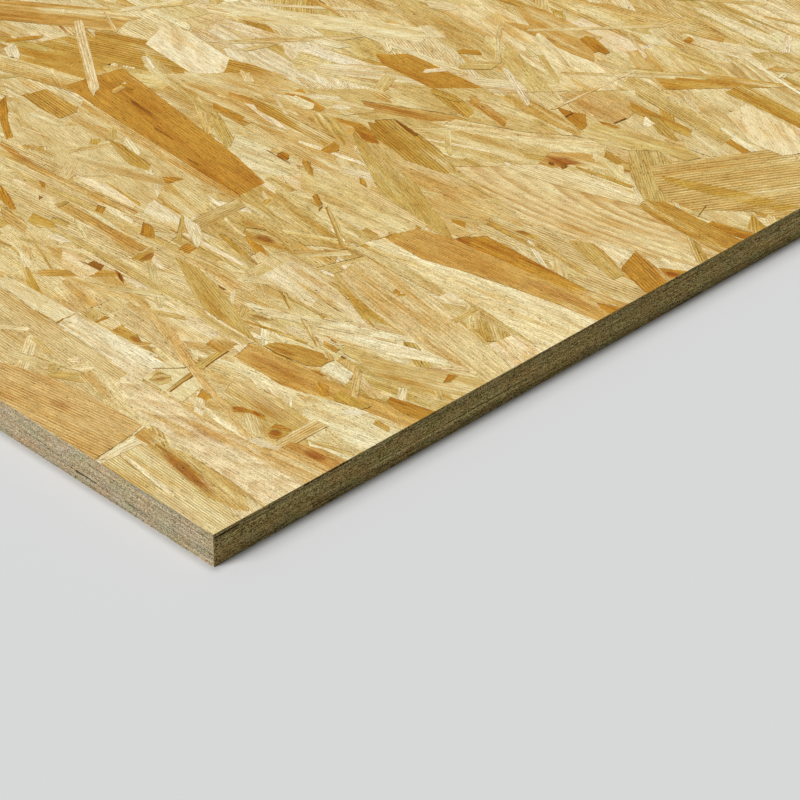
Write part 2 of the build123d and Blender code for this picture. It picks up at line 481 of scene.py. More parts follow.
    ("pale", "smooth", 12, [(252, 243.5), (245, 233), (225, 225.6), (214.6, 227.5), (205.3, 231.4),
        (201.1, 241.3), (215.5, 249.2), (235, 246.3)], dict(pale=0)),
    ("cream", "smooth", 5, [(206, 245), (190, 231.5), (165, 224), (140, 229), (124, 236), (121, 247),
        (150, 251), (185, 252)], dict(pale=0.4)),
    ("cream", "lined", 0, [(255, 257), (220, 256.5), (180, 256), (150, 255.5), (120, 252.5), (118, 248),
        (140, 249), (180, 251), (220, 251), (255, 251)]),
    ("brown", "lined", 0, [(222, 249), (217, 249.5), (214, 244.5), (222, 244)], dict(fade=(0, 1.2, 0))),
    ("brown", "lined", -25, [(180, 233.5), (171, 228.5), (170, 226), (172, 225.5), (180, 230)],
        dict(fade=(90, 1.0, -0.8))),
    ("umber", "smooth", -60, [(170, 227.5), (168.5, 226.5), (166.3, 222), (168.5, 223.5)]),
    ("straw", "lined", -32, [(168.5, 229.5), (150, 220.5), (134.5, 208.8), (136, 207.5), (152, 217.6),
        (167, 227.2)]),
    ("brown", "smooth", -32, [(167, 227.7), (151, 218), (135.4, 207.9), (136, 207.6), (151.5, 217.3),
        (167.4, 227)]),
    ("straw", "smooth", 0, [(228, 248), (222.3, 249), (222.3, 245), (227, 244.5)]),
    ("umber", "smooth", 0, [(229, 244.4), (211, 243.9), (211, 243.3), (229, 243.7)]),
    ("gold", "lined", -28, [(210, 251.5), (204.5, 251.5), (193, 243.5), (197, 243.5), (206, 247)]),
    # the big brown blade and the small pieces in front of it
    ("orange", "lined", -8, [(345, 247), (320, 243), (303, 240), (286, 237.5), (263, 233.5), (248.7, 231.5),
        (230, 227.5), (206, 221.5), (205.5, 200.5), (230, 201), (260, 203), (290, 206), (330, 211),
        (352, 213)], dict(spacing=1.6, pale=-2)),
    ("tan", "lined", -3, [(335, 211), (300, 209), (260, 206.5), (230, 205), (206, 204.5), (206, 200),
        (240, 200), (280, 201), (330, 205)]),
    ("umber", "smooth", -6, [(318, 228), (300, 226.5), (296, 224.5), (312, 225.5)]),
    ("umber", "smooth", -6, [(288, 218.5), (272, 217.5), (270, 216.2), (285, 216.8)]),
    ("umber", "smooth", -6, [(252, 210), (243, 209.3), (241, 208), (250, 208.5)]),
    ("gold", "striped", -6, [(356, 203), (330, 202.5), (326.5, 199), (328, 188.5), (345, 188), (360, 190)],
        dict(pale=-1)),
    ("gold", "lined", -12, [(295, 193), (285, 194.5), (260, 192), (256, 187), (268, 184), (282, 188)]),
    ("cream", "fine", 22, [(297, 172), (275, 180), (250, 186), (225, 198), (213, 200.5), (220, 192),
        (240, 183), (265, 173), (280, 168), (295, 168.5)]),
    ("orange", "striped", 15, [(247, 188), (240, 194), (234, 194.5), (227, 190.5), (233, 186.5),
        (242, 185.5)]),
    ("gold", "smooth", -40, [(301, 187), (296, 190), (294, 185), (298, 183)], dict(pale=-1)),
    ("gold", "smooth", -30, [(314, 162.5), (311, 165), (308, 162), (311, 160)]),
    ("gold", "smooth", 10, [(320, 158.5), (315, 158.5), (317, 155.5), (320, 156)]),
    ("brown", "fine", -37, [(366, 184), (345, 168), (330, 159), (331, 155), (345, 163), (362, 174)]),
    ("white", "smooth", 5, [(280, 158), (262, 163), (240, 163.5), (234, 158), (245, 156), (270, 155.5)]),
    ("gold", "smooth", -4, [(265, 166), (236, 164.5), (233, 161), (262, 163.5)]),
    ("tan", "streaked", 4, [(332, 153), (300, 149.5), (262, 153), (230, 157), (228, 152), (262, 148),
        (300, 145), (330, 149)]),
    ("straw", "fine", 6, [(318, 138), (290, 140), (250, 145), (200, 149), (150, 152), (148, 149),
        (200, 144.5), (250, 140), (290, 136)]),
    ("white", "smooth", -8, [(233, 170.5), (211, 168), (202, 159.5), (227, 158), (232, 165)], dict(pale=-1)),
    ("olive", "fine", -45, [(212.5, 170.5), (209.5, 170), (193, 153), (197.5, 153.5)], dict(pale=-1.5)),
    ("straw", "striped", 88, [(205, 200), (196, 200), (195, 171), (205, 170)], dict(spacing=1.7)),
    ("cream", "lined", -8, [(237, 196), (213, 191), (206.5, 180), (206.5, 171), (233, 172), (240, 185)]),
    ("brown", "smooth", -45, [(221, 152.5), (214, 153), (205, 146), (213, 143.5)]),
    ("brown", "smooth", -60, [(249, 147), (244.5, 148), (241, 143), (246, 142)]),
    ("orange", "striped", 85, [(191, 155), (184, 156), (183, 149), (190, 148)]),
    ("brown", "smooth", -30, [(288, 141), (284, 141), (280, 138.5), (283, 138)]),
    ("umber", "smooth", -40, [(277, 131.5), (274, 131.5), (273, 128.5)]),
    ("brown", "lined", -28, [(298, 124), (285, 120), (274, 114.5), (276, 112.5), (288, 115), (296, 119)]),
    ("tan", "striped", 0, [(263, 136), (230, 137.5), (201, 138.5), (200.5, 129), (230, 130), (262, 130.5)]),
    ("olive", "striped", 90, [(265, 138), (261, 138), (261, 131), (265, 131)], dict(spacing=1.3)),
    ("gold", "smooth", 10, [(266, 118.5), (252, 120.5), (247, 118), (253, 111.5), (262, 111)], dict(pale=-1)),
    ("straw", "striped", -4, [(281, 111.5), (260, 110.5), (254, 103), (268, 103), (278, 107)]),
    # the arched strand and the right side
    ("cream", "arched", 10, [(150, 302), (125, 296), (80, 291.5), (60, 297), (28, 311), (10, 316), (-4, 322),
        (-4, 338), (20, 338.5), (45, 338.5), (62, 344), (75, 348), (100, 344), (118, 337), (130, 325),
        (140, 312)],
        dict(spacing=4.7, centre=(52, 338), dive=0.25, stain=(88, 320.5, 9, 3.2, 0.3), contrast=0.75)),
    ("pale", "lined", 12, [(133, 321), (118.3, 322.2), (99, 326.5), (78, 334), (57.3, 341.8), (62, 344),
        (75, 348), (100, 344), (118, 337), (130, 325)], dict(spacing=1.6, pale=0.3)),
    ("cream", "smooth", 3, [(184, 293), (150, 295), (115, 294), (118, 288), (150, 286), (170, 286)]),
    ("buff", "smooth", 6, [(175, 281.5), (150, 287), (120, 289.5), (80, 293), (82, 289), (115, 281),
        (135, 277), (160, 279)]),
    ("gold", "smooth", 1, [(100, 277), (80, 276), (53, 276.5), (60, 274.5), (100, 274)]),
    ("cream", "smooth", 2, [(102, 273), (80, 274), (80, 271.5), (101, 271)], dict(pale=-1)),
    ("straw", "smooth", 22, [(121, 266), (101, 276), (100, 272), (118, 264)]),
    ("olive", "lined", -15, [(61, 293), (50, 299), (40, 297.5), (19, 289), (20, 282), (40, 286), (55, 290)],
        dict(pale=-1)),
    ("pale", "smooth", 0, [(47, 300.5), (32, 307.5), (27, 294), (40, 297)], dict(pale=-1.5)),
    ("orange", "lined", -18, [(31, 309.5), (24, 291.5), (0, 284.5), (-4, 284), (-4, 303), (0, 303)],
        dict(pale=-0.5)),
    ("orange", "smooth", 20, [(12, 306), (0, 313.5), (-4, 315), (-4, 303), (5, 303)],
        dict(stain=(3, 306, 6, 3, 1))),
    ("cream", "smooth", 0, [(16, 331), (3, 325), (4, 318), (10, 320)], dict(pale=-1)),
    ("gold", "lined", 0, [(62, 352), (50, 354), (20, 354), (-4, 354.5), (-4, 337), (20, 338), (45, 338.5),
        (58, 341)]),
    ("olive", "lined", -35, [(23, 338), (12, 336), (-4, 327), (-4, 321), (3, 323.5), (14, 331)]),
    ("cream", "smooth", 0, [(34, 364), (28, 365), (14, 379), (10.5, 377), (12, 360), (29, 356), (32, 357)]),
    ("brown", "streaked", 20, [(23, 357), (10, 361), (-4, 364), (-4, 356), (10, 354), (23, 354)]),
    ("gold", "striped", -45, [(13, 376), (0, 372), (-4, 362), (6, 364)], dict(spacing=1.8)),
    ("straw", "striped", 60, [(84, 372), (72, 391), (60, 411), (50, 429), (34, 434), (15, 428), (-4, 412),
        (-4, 385), (14, 380), (28, 366), (36, 357.5), (54, 356.5), (66, 362)], dict(spacing=2.3, pale=-0.6)),
    ("umber", "smooth", -62, [(35.4, 366), (34.9, 366), (30.2, 355), (30.7, 355)]),
    ("gold", "striped", 60, [(71, 371), (45, 383), (33, 388), (0, 398.5), (-4, 399.5), (-4, 389), (0, 390),
        (33, 378), (62, 368.5)], dict(spacing=2.3, fade=(30, 1.2, 0))),
    # the far left
    ("gold", "lined", -12, [(206, 313), (186, 311), (168, 308.5), (150, 301.5), (145, 298), (150, 293),
        (172, 288.5), (200, 293), (215, 302)]),
    ("umber", "smooth", -10, [(206, 313.3), (186, 310.8), (186, 309), (200, 311)]),
    ("tan", "streaked", 25, [(232, 314), (210, 326), (187, 338.5), (182, 335), (190, 326), (216, 311.5),
        (226, 311)], dict(pale=0)),
    ("gold", "lined", -15, [(215, 350), (200, 353), (182, 348.5), (180, 340.5), (195, 342), (210, 345)],
        dict(pale=-1.5)),
    ("orange", "fine", 0, [(262, 300), (251, 295.5), (238.5, 295), (238, 290), (250, 287), (265, 290)],
        dict(pale=-2)),
    ("orange", "streaked", 12, [(230, 291), (215, 297), (205, 296), (193, 290), (200, 286), (215, 292),
        (225, 290)], dict(pale=-2)),
    ("gold", "striped", 0, [(274, 274), (262, 276), (230, 276.5), (212, 278), (211, 268), (230, 268.5),
        (262, 268)]),
    ("brown", "smooth", -80, [(211, 275), (206, 274), (203, 270), (204, 265), (210, 264)]),
    ("orange", "smooth", 5, [(285, 257), (262, 259), (259, 254), (280, 253)], dict(pale=-1)),
    ("cream", "smooth", 24, [(237, 291), (212, 305), (210, 303), (232, 291)]),
    ("olive", "arched", -20, [(238, 289), (225, 291), (212, 284), (203, 275), (211, 277), (225, 279.5),
        (238, 281)], dict(pale=-0.5)),
    ("cream", "smooth", 26, [(184, 327), (184, 336), (150, 352), (128, 368), (110, 374), (106, 360),
        (130, 350), (150, 340), (170, 330)]),
    ("tan", "fine", -3, [(180, 378), (150, 377), (128, 373), (127, 369), (150, 367), (184, 366)]),
    ("buff", "fine", -2, [(156, 406), (140, 409), (123, 407), (121.5, 399), (123, 391.5), (145, 391),
        (164, 393)]),
    ("umber", "smooth", 85, [(122.8, 400), (121.9, 400), (122.8, 392), (123.5, 392)]),
    ("brown", "fine", -15, [(157, 383), (146, 385), (140, 388), (131, 380), (130, 374), (142, 377)]),
    ("umber", "smooth", 85, [(146, 384), (145.2, 384), (145, 378.5), (145.8, 378.5)]),
    ("straw", "arched", 18, [(131, 385), (107, 393), (80, 400), (68, 398.5), (71, 391), (86, 388), (97, 378),
        (113, 371.5), (128, 372)], dict(spacing=3.4)),
    ("brown", "smooth", 12, [(131, 388), (125, 390.5), (117, 391), (119, 388), (127, 387)], dict(pale=-2)),
    ("straw", "lined", -38, [(99.3, 376.7), (88, 388), (74.7, 384), (81, 374), (65, 362), (49, 355),
        (57, 350), (62, 348), (80, 359), (90, 368)], dict(spacing=1.3)),
    ("cream", "smooth", -20, [(102, 361), (90, 364), (79, 352.5), (95, 350), (104, 349), (103, 354)]),
    ("tan", "streaked", 15, [(126, 347), (115, 358), (109, 361), (106, 357), (94, 357), (94, 354.5),
        (106, 351), (110, 346), (114, 336.5), (122, 334), (124, 340)],
        dict(stain=(112, 346, 15, 6, 0.9), pale=-0.6)),
    ("umber", "smooth", 10, [(119.6, 339.6), (117.4, 340.8), (115.2, 339), (116.4, 337.8), (118.6, 338)]),
    ("umber", "smooth", 0, [(113, 344), (109.5, 343.5), (109.5, 339.5), (112, 340)]),
    ("gold", "smooth", -10, [(107, 369), (96, 368), (92, 364), (95, 362.5), (103, 363)], dict(pale=-1.5)),
    ("gold", "streaked", 8, [(107, 346.5), (90, 350.5), (72, 353.5), (73, 351), (90, 347.5), (106, 345)],
        dict(pale=-1)),
    ("olive", "striped", -20, [(116, 411.5), (110, 413), (87, 403.5), (88, 401.5), (100, 401), (108, 405)]),
    ("white", "smooth", 0, [(117, 409), (108, 407), (108, 401.5), (112, 402)]),
    ("straw", "lined", -8, [(150, 436), (100, 432), (70, 425), (70, 417), (110, 420), (135, 421)]),
    ("gold", "lined", -3, [(104, 470), (55, 468), (45, 458), (104, 457)]),
    ("pale", "smooth", -25, [(88, 456), (55, 455), (35, 440), (40, 430), (60, 428), (88, 440)],
        dict(pale=-1.5)),
]
SHOWN_DEPTHS = (0.02, 0.40)  # range of their depth in mm
SHOWN_ZONE = 545.0  # how far from the corner they reach, along the two edges together, in mm
GAPS_EACH = 3  # places along a strand's outline that can have a gap painted dark as its shadow
GAP_WIDTHS = (0.25, 0.60)  # range of their width in mm
GAP_TUCK = 0.2 * MM  # how far they reach below the strand
GAP_FLOOR = 0.5 * MM  # their depth
# tones of the gaps, which are painted shadow
GAP_SHADOW_MIX = {"orange": 2, "brown": 5, "umber": 3}


def shown_strands(rows, rng):
    strands = []
    for tone, grain, angle, outline, *more in rows:
        depth = rng.uniform(*SHOWN_DEPTHS) * MM
        strand = Strand(on_sheet(outline), math.radians(angle), tone, grain, depth, rng)
        strands.append((strand.given(**more[0]) if more else strand).frayed(rng))
    return strands


# Strands laid at random over the rest of both faces

PALE_MIX = {"white": 7, "pale": 26, "cream": 32, "straw": 27, "olive": 8}
WARM_MIX = {
    "white": 9, "pale": 22, "cream": 22, "straw": 19, "olive": 9, "gold": 8, "tan": 7, "orange": 2,
    "brown": 2,
}
CHIP_MIX = {
    "white": 18, "pale": 22, "cream": 16, "straw": 12, "gold": 12, "tan": 10, "orange": 5, "brown": 4,
    "umber": 1,
}
SCRAP_MIX = {
    "white": 14, "pale": 24, "cream": 22, "straw": 18, "olive": 6, "gold": 7, "tan": 5, "orange": 2,
    "brown": 2,
}
BROAD_GRAIN = {"smooth": 34, "fine": 22, "lined": 16, "striped": 5, "arched": 15, "streaked": 8}
CHIP_GRAIN = {"smooth": 55, "fine": 30, "lined": 12, "striped": 3}
# strands per square metre, ranges of length, width and depth in mm, spread of the angle in degrees, mixes
LAYERS = {
    "bed": (850, (85, 150), (18, 48), (0.30, 0.42), 12, PALE_MIX, BROAD_GRAIN),
    "cover": (1200, (50, 130), (8, 30), (0.12, 0.29), 17, WARM_MIX, BROAD_GRAIN),
    "slivers": (600, (20, 80), (1.5, 6), (0.05, 0.11), 26, WARM_MIX, CHIP_GRAIN),
    "chips": (600, (5, 22), (2, 8), (0.01, 0.05), 45, CHIP_MIX, CHIP_GRAIN),
    "scraps": (3200, (8, 50), (1.2, 7), (0.05, 0.35), 22, SCRAP_MIX, CHIP_GRAIN),
}
CELL_STRETCH = 2  # how much longer than a square one of its size a cell of the grid is, in which a flake lies
CELL_SPREAD = (-0.3, 1.3)  # where a flake's centre can fall, in cells
WIDEST = 0.6  # share of its length that a flake can be wide

# shares of a flake's width or length
SLANT = 0.35  # how unevenly an end is cut
TAPERS = (0.25, 1.0)  # how wide the ends are
INSETS = (0.04, 0.22)  # how far from the ends the sides start to close
WOBBLE = 0.05  # how uneven the sides are
RAGGED = 0.12  # how far the fibres at the ends stand out
RAGGED_MOST = 1.5 * MM
TIPS = (0.1, 0.2)  # how far off its axis the middle of each end lies


def pick(mix, rng):
    names = list(mix)
    weights = np.array([mix[name] for name in names], float)
    return names[rng.choice(len(names), p=weights / weights.sum())]


def flake_outline(length, width, rng):
    """Outline of a flake along X round the origin: two long split sides and two ragged ends."""
    a, b = length / 2, width / 2
    slants = rng.normal(0, SLANT, 2) * width
    tapers = rng.uniform(*TAPERS, 4)
    insets = rng.uniform(*INSETS, 4) * length
    wobble = rng.normal(0, WOBBLE, 4) * b
    rough = rng.normal(0, min(width * RAGGED, RAGGED_MOST), 6)
    outline = np.array([
        (a - slants[0] + rough[0], -b * tapers[0]),
        (a + rough[1], TIPS[0] * b),
        (a + slants[0] + rough[2], b * tapers[1]),
        (a - insets[0], b + wobble[0]),
        (-a + insets[1], b + wobble[1]),
        (-a + slants[1] + rough[3], b * tapers[2]),
        (-a + rough[4], TIPS[1] * b),
        (-a - slants[1] + rough[5], -b * tapers[3]),
        (-a + insets[2], -b + wobble[2]),
        (a - insets[3], -b + wobble[3]),
    ])
    return outline[np.argsort(np.arctan2(outline[:, 1] / b, outline[:, 0] / a))]


def laid_strands(name, rng):
    """The flakes of one layer over the whole face, the deepest first."""
    density, lengths, widths, depths, spread, tones, grains = LAYERS[name]
    columns = round(math.sqrt(density) * LENGTH / CELL_STRETCH)
    rows = round(density * LENGTH * WIDTH / columns)
    strands = []
    for cell in range(columns * rows):
        at = (np.array([cell % columns, cell // columns]) + rng.uniform(*CELL_SPREAD, 2)) / (columns, rows)
        centre = LOW[:2] + at * (LENGTH, WIDTH)
        length, width = rng.uniform(*lengths) * MM, rng.uniform(*widths) * MM
        angle = math.radians(rng.normal(0, spread))
        along = np.array([math.cos(angle), math.sin(angle)])
        outline = flake_outline(length, min(width, length * WIDEST), rng) @ [along, (-along[1], along[0])]
        depth = rng.uniform(*depths) * MM
        strands.append(Strand(outline + centre, angle, pick(tones, rng), pick(grains, rng), depth, rng))
    return sorted(strands, key=lambda strand: -strand.depth)


def near_corner(strand):
    """Whether the strand lies where the photo shows them."""
    return np.abs(strand.centre - NEAR_CORNER).sum() < SHOWN_ZONE * MM


def shadow_gaps_beside(strand, rng):
    """Splinters of gap under the strand's sides that face away from the low light, where it stands off,
    painted dark as the strand's shadow.
    """
    gaps = []
    points = strand.outline
    for corner in rng.choice(len(points), min(GAPS_EACH, len(points)), replace=False):
        start, middle, end = points[corner - 1], points[corner], points[(corner + 1) % len(points)]
        run = end - start
        away = np.array([run[1], -run[0]]) / np.hypot(*run)
        if away @ SUNS[0][1][:2] < 0:
            tuck = away * GAP_TUCK
            widest = middle + away * rng.uniform(*GAP_WIDTHS) * MM
            outline = [start - tuck, widest, end - tuck, middle - 2 * tuck]
            angle = math.atan2(run[1], run[0])
            gaps.append(Strand(outline, angle, pick(GAP_SHADOW_MIX, rng), "smooth", GAP_FLOOR, rng))
    return gaps


def top_strands():
    rng = np.random.default_rng(SEED)
    laid = {name: laid_strands(name, rng) for name in LAYERS}
    under, shown = shown_strands(UNDER, rng), shown_strands(SHOWN, rng)
    scraps = [strand for strand in laid["scraps"] if near_corner(strand)]
    apart = {name: [strand for strand in laid[name] if not near_corner(strand)] for name in laid}
    # each shown strand with gaps beside it, painted dark as its shadow
    shown = [piece for strand in shown for piece in (*shadow_gaps_beside(strand, rng), strand)]
    return laid["bed"] + apart["cover"] + under + scraps + shown + apart["slivers"] + apart["chips"]


def underside_strands():
    rng = np.random.default_rng(SEED + 1)
    return [strand for name in ("bed", "cover", "slivers") for strand in laid_strands(name, rng)]


# Which strand shows where

NEARNESS = 2e-6  # points this close count as one, in metres
SPILL = 1.02  # a strand that fills more than this times its area has spilt over
GAP_DEPTH = 0.8 * MM  # of the bottom of a gap between strands, painted dark as shade
# numbers that stand for no strand
NOTHING = -1  # the bottom of a gap, or no neighbour
OUTSIDE = -2
UNKNOWN = -3


def arrangement(points, edges, faces):
    """The points, edges and triangles into which these edges and faces split each other, all as arrays, and
    for each edge and triangle the numbers of the given ones that it lies on."""
    form = 1 if faces else 0
    places, sides, triangles, _, on_edges, on_faces = delaunay_2d_cdt(
        [Vector(p) for p in points], edges, faces, form, NEARNESS, True
    )
    return np.array([p[:] for p in places]), np.array(sides), np.array(triangles), on_edges, on_faces


def sides_of(triangles):
    """The three directed sides of each triangle, and the number of the triangle across each, or NOTHING."""
    sides = np.stack([triangles, np.roll(triangles, -1, 1)], -1).reshape(-1, 2)
    low, high = sides.min(1), sides.max(1)
    order = np.lexsort((high, low))
    same = (low[order][1:] == low[order][:-1]) & (high[order][1:] == high[order][:-1])
    first, second = order[:-1][same], order[1:][same]
    across = np.full(len(sides), NOTHING)
    across[first], across[second] = second // 3, first // 3
    return sides, across


def straightened(places, sides, labels):
    """The same borders without the points that lie within a straight run."""
    meeting = {}
    for number, side in enumerate(sides):
        for point in side:
            meeting.setdefault(point, []).append(number)
    sides, kept = [list(side) for side in sides], np.ones(len(sides), bool)
    for point, numbers in meeting.items():
        if len(numbers) != 2:
            continue
        before, after = sorted(numbers, key=lambda number: sides[number][0] == point)
        a, b = sides[before][0], sides[after][1]
        if a == b or sides[before][1] != point or sides[after][0] != point:
            continue
        run, rest = places[point] - places[a], places[b] - places[point]
        offset = abs(run[0] * rest[1] - run[1] * rest[0]) / max(np.hypot(*(run + rest)), NEARNESS)
        if offset > NEARNESS or run @ rest <= 0:
            continue
        sides[before][1] = b
        kept[after] = False
        meeting[b][meeting[b].index(after)] = before
    return np.array(sides)[kept], labels[kept]


def spread_labels(triangles, label, blocked):
    """label with each unknown triangle given its neighbour's, as far as the next border."""
    _, across = sides_of(triangles)
    own = np.repeat(np.arange(len(triangles)), 3)
    open_sides = (across >= 0) & ~blocked
    own, across = own[open_sides], across[open_sides]
    while True:
        gains = (label[own] == UNKNOWN) & (label[across] != UNKNOWN)
        if not gains.any():
            return label
        label[own[gains]] = label[across[gains]]


def twice_areas(places, triangles):
    a, b, c = places[triangles].swapaxes(0, 1)
    return (b - a)[:, 0] * (c - a)[:, 1] - (b - a)[:, 1] * (c - a)[:, 0]


def uppermost_strands(strands, here, low, high):
    """The rectangle in triangles, and the number of the uppermost strand on each."""
    points = [(low[0], low[1]), (high[0], low[1]), (high[0], high[1]), (low[0], high[1])]
    faces = [[0, 1, 2, 3]]
    for number in here:
        outline = strands[number].outline
        faces.append(list(range(len(points), len(points) + len(outline))))
        points.extend(outline)
    places, _, triangles, _, owners = arrangement(np.array(points) - low, [], faces)
    inside = [number for number, owner in enumerate(owners) if 0 in owner]
    triangles, owners = triangles[inside], [owners[number] for number in inside]
    # the filling of a very thin outline can run out over its border; such a strand is left out
    areas = np.repeat(twice_areas(places, triangles), [len(numbers) for numbers in owners])
    filled = np.bincount([number for numbers in owners for number in numbers], areas, len(faces))
    spilt = filled[1:] > [strands[number].twice_area * SPILL for number in here]
    if spilt.any():
        return uppermost_strands(strands, here[~spilt], low, high)
    return places, triangles, np.array([NOTHING, *here])[[max(numbers) for numbers in owners]]


def visible_parts(strands, boxes, low, high):
    """The rectangle from low to high in triangles: their points, their corners, the number of the uppermost
    strand on each, the borders between strands, and the numbers left and right of those."""
    here = np.flatnonzero((boxes[:, 1] > low).all(1) & (boxes[:, 0] < high).all(1))
    places, triangles, uppermost = uppermost_strands(strands, here, low, high)

    sides, across = sides_of(triangles)
    own = np.repeat(uppermost, 3)
    other = np.where(across >= 0, uppermost[across], OUTSIDE)
    border = own > other
    sides, beside = straightened(places, sides[border], np.stack([own, other], 1)[border])

    used, ends = np.unique(sides, return_inverse=True)
    given, ends = places[used], ends.reshape(-1, 2)
    places, edges, triangles, on_edges, _ = arrangement(given, ends.tolist(), [])
    is_border = np.array([len(on) > 0 for on in on_edges])
    source = np.array([on[0] if on else 0 for on in on_edges])
    run = places[edges[:, 1]] - places[edges[:, 0]]
    same_way = (run * (given[ends[:, 1]] - given[ends[:, 0]])[source]).sum(1) > 0
    beside = np.where(same_way[:, None], beside[source], beside[source, ::-1])

    sides, _ = sides_of(triangles)
    key = edges.min(1) * len(places) + edges.max(1)
    order = np.argsort(key)
    edge = order[np.searchsorted(key[order], sides.min(1) * len(places) + sides.max(1))]
    left = np.where(sides[:, 0] == edges[edge, 0], beside[edge, 0], beside[edge, 1])
    known = np.where(is_border[edge], left, UNKNOWN).reshape(-1, 3).max(1)
    label = spread_labels(triangles, known, is_border[edge])
    return places + low, triangles, label, edges[is_border], beside[is_border]


# Meshes of the two faces

TOP_TILES = (3, 4)  # along the length and the width; each is a mesh of its own
UNDERSIDE_TILES = (3, 2)
PAINTED_WALL_SHADE = 0.45  # how dark the rim of a strand is painted: in part its cut end grain, mostly painted shade in the step


class Looks:
    """What the strands' material needs to know of each strand, as arrays. The last row is a gap's bottom,
    painted umber as shade.
    """

    def __init__(self, strands, rng):
        corners = [LOW[:2], (HIGH[0], LOW[1]), HIGH[:2], (LOW[0], HIGH[1])]
        # a gap's bottom, painted umber as shade
        strands = strands + [Strand(corners, 0.0, "umber", "smooth", GAP_DEPTH, rng)]
        titles = "depth centre along tone contrast spacing pith dive streaks seed fade stain"
        for title in titles.split():
            setattr(self, title, np.array([getattr(strand, title) for strand in strands]))

    def coordinates(self, places, label):
        """Where places lie along and across the grain, among the rings in ring widths, round the stain, and
        how far they lie towards the strand's paler side."""
        offset, along = places - self.centre[label], self.along[label]
        u = (offset * along).sum(1)
        v = offset[:, 1] * along[:, 0] - offset[:, 0] * along[:, 1]
        across = (v - self.pith[label, 0]) / self.spacing[label]
        below = (self.pith[label, 1] + self.dive[label] * u) / self.spacing[label]
        stain = self.stain[label]
        stain_u, stain_v = (u - stain[:, 0]) / stain[:, 2], (v - stain[:, 1]) / stain[:, 3]
        return {
            "grain": np.stack([u, v, self.seed[label]], 1),
            "rings": np.stack([across, below, self.streaks[label]], 1),
            "stain": np.stack([stain_u, stain_v, stain[:, 4]], 1),
            "fade": (np.stack([u, v, np.ones(len(u))], 1) * self.fade[label]).sum(1),
        }


def add_mesh(name, vertices, triangles, material, corner_values, tone, uv):
    """A piece of the sheet, riding on it, with the values that its material reads."""
    mesh = bpy.data.meshes.new(name)
    mesh.from_pydata(vertices.tolist(), [], triangles.tolist())
    for title, values in corner_values.items():
        kind, field = ("FLOAT", "value") if values.ndim == 1 else ("FLOAT_VECTOR", "vector")
        data = mesh.attributes.new(title, kind, "CORNER").data
        data.foreach_set(field, values.astype(np.float32).ravel())
    data = mesh.attributes.new("tone", "FLOAT_COLOR", "FACE").data
    data.foreach_set("color", tone.astype(np.float32).ravel())
    mesh.uv_layers.new(name="OFBake").uv.foreach_set("vector", uv.astype(np.float32).ravel())
    mesh.materials.append(material)
    piece = bpy.data.objects.new(name, mesh)
    bpy.context.collection.objects.link(piece)
    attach(piece, "root")
    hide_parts("osb_panel")
    return piece


def add_tile(name, strands, boxes, looks, low, high, upwards, material):
    """One rectangle of a face: each strand at its own depth, and rims where a higher one ends."""
    places, triangles, label, borders, beside = visible_parts(strands, boxes, low, high)
    on_rim = ((np.abs(places - LOW[:2]) < NEARNESS) | (np.abs(places - HIGH[:2]) < NEARNESS)).any(1)

    steps = (beside >= NOTHING).all(1)
    borders, beside = borders[steps], beside[steps]
    depth = looks.depth[beside]
    left_up = depth[:, 0] <= depth[:, 1]
    upper = np.where(left_up, beside[:, 0], beside[:, 1])
    lower = np.where(left_up, beside[:, 1], beside[:, 0])
    start, end = np.where(left_up[:, None], borders, borders[:, ::-1]).T
    before, after = ~on_rim[end], ~on_rim[start]
    stepped = looks.depth[lower] > looks.depth[upper]
    rims = [
        np.stack([start, end, end, lower, lower, upper, upper], 1)[before & stepped],
        np.stack([start, end, start, lower, upper, upper, upper], 1)[after & stepped],
    ]
    rims = np.concatenate(rims)
    corner_place = np.concatenate([triangles, rims[:, :3]]).ravel()
    corner_label = np.concatenate([np.repeat(label, 3), rims[:, 3:6].ravel()])
    face_label = np.concatenate([label, rims[:, 6]])
    # rims painted darker, as shade in the step below a higher strand
    shade = np.concatenate([np.ones(len(label)), np.full(len(rims), PAINTED_WALL_SHADE)])

    key = corner_place * (len(strands) + 2) + corner_label + 1
    _, first, corner = np.unique(key, return_index=True, return_inverse=True)
    at, depth = places[corner_place[first]].clip(LOW[:2], HIGH[:2]), looks.depth[corner_label[first]]
    depth = np.where(on_rim[corner_place[first]], 0, depth)
    z = HIGH[2] - depth if upwards else LOW[2] + depth
    faces = corner.reshape(-1, 3)
    if not upwards:
        faces = faces[:, ::-1]
        corner_place = corner_place.reshape(-1, 3)[:, ::-1].ravel()
    corner_look = np.repeat(face_label, 3)
    values = looks.coordinates(places[corner_place], corner_look)
    tone = np.column_stack([looks.tone[face_label] * shade[:, None], looks.contrast[face_label]])
    uv = (places[corner_place] - low) / (high - low)
    add_mesh(name, np.column_stack([at, z]), faces, material, values, tone, uv)


def add_face(name, strands, tiles, upwards, material):
    looks = Looks(strands, np.random.default_rng(SEED))
    boxes = np.array([(s.outline.min(0), s.outline.max(0)) for s in strands])
    size = (HIGH - LOW)[:2] / tiles
    for column in range(tiles[0]):
        for row in range(tiles[1]):
            title, low = f"{name}_{column + 1}_{row + 1}", LOW[:2] + size * (column, row)
            add_tile(title, strands, boxes, looks, low, low + size, upwards, material)


# The sawn edges

EDGE_ROWS = 28  # strands through the thickness
EDGE_STEP = 5 * MM  # between the points along an edge
CORNER_STEP = 0.5 * MM  # stretch at each end that stays flush
SKIN_SHARE = 0.24  # share of the thickness in which the strands run along the sheet, on each side
LENGTHWISE = (35, 120)  # length in mm of a strand that the saw cut along its grain
CROSSWISE = (6, 28)  # and of one that it cut across
ROUGH_SAWN = 0.12, 0.35  # how deep a strand is torn, in mm: spread, and at most
UNEVEN_LIGHT = 0.12  # spread of the strands' brightness
PIT_SHARE = 0.015
PIT_DEPTH = 1.1 * MM
